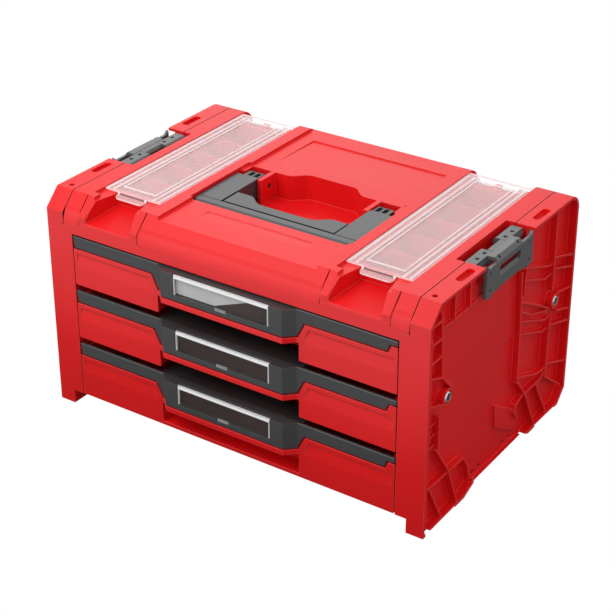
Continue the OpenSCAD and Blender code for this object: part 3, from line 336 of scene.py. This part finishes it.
def clear_lid(name):
    """Clear lid: see-through flats with a faint drift and a whitish painted reflection haze, upright faces
    painted white and rib tops painted brighter as highlights, and painted shade in the fold where the finger
    tab drops."""
    mat, tree, shader, skin = new_material(name)
    coords = tree.nodes.new("ShaderNodeTexCoord")
    upright = band(tree, axis_value(tree, coords.outputs["Normal"], 2), *UPRIGHT, UPRIGHT_SOFT)
    rib_top = band(tree, axis_value(tree, coords.outputs["Object"], 2), *RIB_TOP_Z, RIB_TOP_SOFT)
    painted_highlight = strongest(tree, upright, maths(tree, "MULTIPLY", rib_top, RIB_TOP_SHARE))
    fold = in_boxes(tree, TAB_FOLD)
    tone = drifting(tree, skin.outputs["Broad"], (0.92, 0.79, 0.80), (0.95, 0.83, 0.84), CLEAR_ENDS)
    # painted highlights on the upright faces and rib tops
    tone = over(tree, painted_highlight, tone, WHITE)
    # painted shade in the fold of the finger tab
    tree.links.new(over(tree, fold, tone, (0.20, 0.010, 0.012)), shader.inputs["Base Color"])
    flats = remap(tree, skin.outputs["Broad"], 0.0, 1.0, *LID_FLATS)
    solid = strongest(tree, flats, maths(tree, "MULTIPLY", painted_highlight, LID_HIGHLIGHT_SOLID), fold)
    tree.links.new(solid, shader.inputs["Alpha"])
    uneven_gloss(tree, shader, skin, 0.08, 0.16)
    return mat


# the label windows: how solid their field, the front and top of their bead, their ends and tab look; all but
# the field are painted highlights
FIELD = (0.12, 0.15)
BEAD_FRONT = 0.95
BEAD_TOP = 0.45
WINDOW_ENDS = 0.5
WINDOW_TAB = 0.4
# the normal's z on the front and on the top of a bead, and |x| of the ends
BEAD_FRONT_SLOPE = (-0.85, 0.45)
BEAD_TOP_SLOPE = (0.5, 1.1)
SLOPE_SOFT = 0.08
ENDS_X = (0.0548, 0.0562)
ENDS_SOFT = 0.0003


def clear_window(name):
    """Clear label window: an almost unseen flat field, and painted highlights: white on the front of the bead,
    grey on its top, and pale on the ends and tab."""
    mat, tree, shader, skin = new_material(name)
    coords = tree.nodes.new("ShaderNodeTexCoord")
    slope = axis_value(tree, coords.outputs["Normal"], 2)
    bead = in_boxes(tree, BEADS)
    tab = in_boxes(tree, WINDOW_TABS)
    front = maths(tree, "MULTIPLY", bead, band(tree, slope, *BEAD_FRONT_SLOPE, SLOPE_SOFT))
    top = maths(tree, "MULTIPLY", bead, band(tree, slope, *BEAD_TOP_SLOPE, SLOPE_SOFT))
    ends = band(tree, from_middle(tree, coords.outputs["Object"]), *ENDS_X, ENDS_SOFT)
    tone = drifting(tree, skin.outputs["Broad"], (0.09, 0.062, 0.058), (0.12, 0.085, 0.08), CLEAR_ENDS)
    # painted highlights: grey on the bead's top and the tab, white on the bead's front and the ends
    tone = over(tree, strongest(tree, top, tab), tone, (0.62, 0.63, 0.64))
    tree.links.new(over(tree, strongest(tree, front, ends), tone, WHITE), shader.inputs["Base Color"])
    field = remap(tree, skin.outputs["Broad"], 0.0, 1.0, *FIELD)
    shares = ((front, BEAD_FRONT), (top, BEAD_TOP), (ends, WINDOW_ENDS), (tab, WINDOW_TAB))
    solid = strongest(tree, field, *(maths(tree, "MULTIPLY", place, share) for place, share in shares))
    tree.links.new(solid, shader.inputs["Alpha"])
    uneven_gloss(tree, shader, skin, 0.05, 0.10)
    return mat


def steel(name, low, high, rough, sockets=()):
    """Turned steel with faint tool marks, and painted shade at the bottom of its sockets."""
    mat, tree, shader, skin = new_material(name, grain=(3000.0, 0.15, 0.0003))
    tone = drifting(tree, skin.outputs["Fine"], low, high)
    # painted shade at the bottom of the sockets
    if sockets:
        tone = over(tree, in_boxes(tree, sockets), tone, (0.004, 0.003, 0.003))
    tree.links.new(tone, shader.inputs["Base Color"])
    shader.inputs["Metallic"].default_value = 1.0
    uneven_gloss(tree, shader, skin, rough - STEEL_DRIFT, rough + STEEL_DRIFT)
    return mat


CARD_LOW = (0.040, 0.026, 0.024)
CARD_HIGH = (0.050, 0.032, 0.029)
CARD_ROUGH = 0.8
CARD_GRAIN = (300.0, 0.04, 0.0001)
# the pale painted reflection on the top card ends on the line x - 2.612 z = -0.4839
REFLECTION_SLANT = (1.0, 0.0, -2.612)
REFLECTION_EDGE = -0.4839
REFLECTION_SOFT = 0.0006


def card_with_painted_reflection(name):
    """Label card with a painted reflection: its left end is pale up to a slanting line, and dark beyond it."""
    mat, tree, shader, skin = new_material(name, CARD_GRAIN)
    slant = tree.nodes.new("ShaderNodeVectorMath")
    slant.operation = "DOT_PRODUCT"
    tree.links.new(tree.nodes.new("ShaderNodeTexCoord").outputs["Object"], slant.inputs[0])
    slant.inputs[1].default_value = REFLECTION_SLANT
    beyond = remap(tree, slant.outputs["Value"], REFLECTION_EDGE - REFLECTION_SOFT, REFLECTION_EDGE + REFLECTION_SOFT)
    dark = drifting(tree, skin.outputs["Broad"], CARD_LOW, CARD_HIGH)
    pale = drifting(tree, skin.outputs["Fine"], (0.88, 0.89, 0.89), (0.93, 0.94, 0.94))
    tree.links.new(over(tree, beyond, pale, dark), shader.inputs["Base Color"])
    shader.inputs["Roughness"].default_value = CARD_ROUGH
    return mat


# each plastic's rim tone is a painted highlight along its edges; red and dark also carry painted shade, and
# red a painted sheen and shade on the front
RED = plastic("red_plastic", low=(0.72, 0.006, 0.008), high=(0.80, 0.008, 0.010), rim=(1.0, 0.20, 0.18),
              rim_share=0.6, rough=0.42, gloss=0.22, grain=(1600.0, 0.12, 0.0008),
              painted_shade_boxes=END_SEAM + RECESSES, painted_front_light=True)
DARK = plastic("dark_plastic", low=(0.036, 0.038, 0.039), high=(0.044, 0.046, 0.047), rim=(0.14, 0.14, 0.14),
               rim_share=0.5, rough=0.40, gloss=0.5, grain=(1400.0, 0.2, 0.0006), painted_shade_boxes=GRIP_GROOVE + CAPS)
LATCH = plastic("latch_plastic", low=(0.085, 0.087, 0.088), high=(0.097, 0.099, 0.100), rim=(0.22, 0.22, 0.22),
                rim_share=0.5, rough=0.40, gloss=0.5, grain=(1400.0, 0.2, 0.0006))
CLEAR = clear_lid("clear_plastic")
WINDOW = clear_window("window_plastic")
STEEL = steel("screw_steel", (0.60, 0.59, 0.58), (0.80, 0.79, 0.78), rough=0.2, sockets=SOCKETS)
DULL_STEEL = steel("pin_steel", (0.10, 0.10, 0.10), (0.14, 0.14, 0.14), rough=0.45)
CARD = plastic("card_stock", CARD_LOW, CARD_HIGH, rim=(0.10, 0.08, 0.07), rim_share=0.2, rough=CARD_ROUGH,
               gloss=0.2, grain=CARD_GRAIN)
TOP_CARD = card_with_painted_reflection("top_card_painted_reflection")

BY_SLOT = {"red": RED, "dark": DARK, "clear": CLEAR, "steel": STEEL, "card": CARD}
# nodes whose finish isn't the one of their slot
BY_NODE = {"label_window_1": WINDOW, "label_window_2": WINDOW, "label_window_3": WINDOW,
           "label_card_1": TOP_CARD, "latch_pins": DULL_STEEL, "handle_pins": DULL_STEEL,
           "latch_left": LATCH, "latch_right": LATCH}


def dress_nodes():
    """Gives each node its own material, or else the one of its slot."""
    slot_of = {part["node"]: part["material_slot"] for part in frame["record"]["subparts"]}
    for name, node in nodes.items():
        node.data.materials.clear()
        node.data.materials.append(BY_NODE.get(name, BY_SLOT[slot_of[name]]))


# ---- stage ---------------------------------------------------------------------------------

FLOOR_REACH = 4.0
FLOOR_POINTS = 9
FLOOR_Z = -0.0002
FLOOR_TONE = (0.22, 0.22, 0.22, 1.0)
FLOOR_ROUGH = 0.9
# a painted pool of light on the paper in front of the box, glowing for gloss rays only, from where it begins
# to where it is full, along y
POOL_NEAR = -0.20
POOL_FAR = -0.50

SKY_TONE = (0.95, 0.95, 0.96, 1.0)
SKY_STRENGTH = 0.86
# each lamp's place, the point that it faces, its width and its power in watts
LAMPS = {"key": ((-0.5, -0.78, 1.15), (0.0, 0.0, 0.18), 0.8, 8.2),
         "back": ((-1.15, 1.8, 1.3), (0.0, 0.0, 0.2), 1.2, 8.0),
         "right": ((1.9, -0.8, 1.3), (0.0, 0.0, 0.12), 1.4, 2.5)}


def floor_mesh():
    """A level grid of points: x and y each run evenly from -FLOOR_REACH to FLOOR_REACH, and each face joins a
    point to its neighbours in x, in both, and in y."""
    line = np.linspace(-FLOOR_REACH, FLOOR_REACH, FLOOR_POINTS)
    x, y = np.meshgrid(line, line)
    points = np.stack([x, y, np.full_like(x, FLOOR_Z)], axis=-1).reshape(-1, 3)
    number = np.arange(FLOOR_POINTS ** 2).reshape(FLOOR_POINTS, FLOOR_POINTS)
    corners = (number[:-1, :-1], number[:-1, 1:], number[1:, 1:], number[1:, :-1])
    mesh = bpy.data.meshes.new("floor")
    mesh.from_pydata(points.tolist(), [], np.stack(corners, axis=-1).reshape(-1, 4).tolist())
    return mesh


def floor_paper():
    """Paper that the camera sees as plain white. Gloss sees a painted pool of light glowing on it in front of
    the box, and grey paper elsewhere.
    """
    mat = bpy.data.materials.new("floor_paper")
    mat.use_nodes = True
    tree = mat.node_tree
    paper = tree.nodes["Principled BSDF"]
    paper.inputs["Base Color"].default_value = FLOOR_TONE
    paper.inputs["Roughness"].default_value = FLOOR_ROUGH
    white = tree.nodes.new("ShaderNodeEmission")
    white.inputs["Color"].default_value = (*WHITE, 1.0)
    ray = tree.nodes.new("ShaderNodeLightPath")
    along_y = axis_value(tree, tree.nodes.new("ShaderNodeTexCoord").outputs["Object"], 1)
    # painted pool of light: the paper glows for gloss rays in front of the box
    painted_pool = maths(tree, "MULTIPLY", remap(tree, along_y, POOL_NEAR, POOL_FAR), ray.outputs["Is Glossy Ray"])
    mix = tree.nodes.new("ShaderNodeMixShader")
    tree.links.new(strongest(tree, ray.outputs["Is Camera Ray"], painted_pool), mix.inputs["Fac"])
    tree.links.new(paper.outputs["BSDF"], mix.inputs[1])
    tree.links.new(white.outputs["Emission"], mix.inputs[2])
    tree.links.new(mix.outputs["Shader"], tree.nodes["Material Output"].inputs["Surface"])
    return mat


def make_floor():
    """Lays the wide level floor just under the box."""
    mesh = floor_mesh()
    mesh.materials.append(floor_paper())
    floor = bpy.data.objects.new("floor", mesh)
    bpy.context.scene.collection.objects.link(floor)


def make_sky():
    """A soft pale sky all round, which the camera sees as white."""
    world = bpy.data.worlds.new("studio")
    bpy.context.scene.world = world
    world.use_nodes = True
    tree = world.node_tree
    tree.nodes.clear()
    soft = tree.nodes.new("ShaderNodeBackground")
    soft.inputs["Color"].default_value = SKY_TONE
    soft.inputs["Strength"].default_value = SKY_STRENGTH
    seen = tree.nodes.new("ShaderNodeBackground")
    seen.inputs["Color"].default_value = (*WHITE, 1.0)
    mix = tree.nodes.new("ShaderNodeMixShader")
    ray = tree.nodes.new("ShaderNodeLightPath")
    out = tree.nodes.new("ShaderNodeOutputWorld")
    tree.links.new(ray.outputs["Is Camera Ray"], mix.inputs["Fac"])
    tree.links.new(soft.outputs["Background"], mix.inputs[1])
    tree.links.new(seen.outputs["Background"], mix.inputs[2])
    tree.links.new(mix.outputs["Shader"], out.inputs["Surface"])


def make_lamps():
    """Soft square lamps, each turned to the point that it faces."""
    for name, (place, target, width, power) in LAMPS.items():
        light = bpy.data.lights.new(name, "AREA")
        light.shape = "SQUARE"
        light.size = width
        light.energy = power
        lamp = bpy.data.objects.new(name, light)
        lamp.location = Vector(place)
        lamp.rotation_euler = (Vector(place) - Vector(target)).to_track_quat("Z", "Y").to_euler()
        bpy.context.scene.collection.objects.link(lamp)


make_camera()
dress_nodes()
make_floor()
make_sky()
make_lamps()
bpy.context.scene.view_settings.view_transform = "Standard"
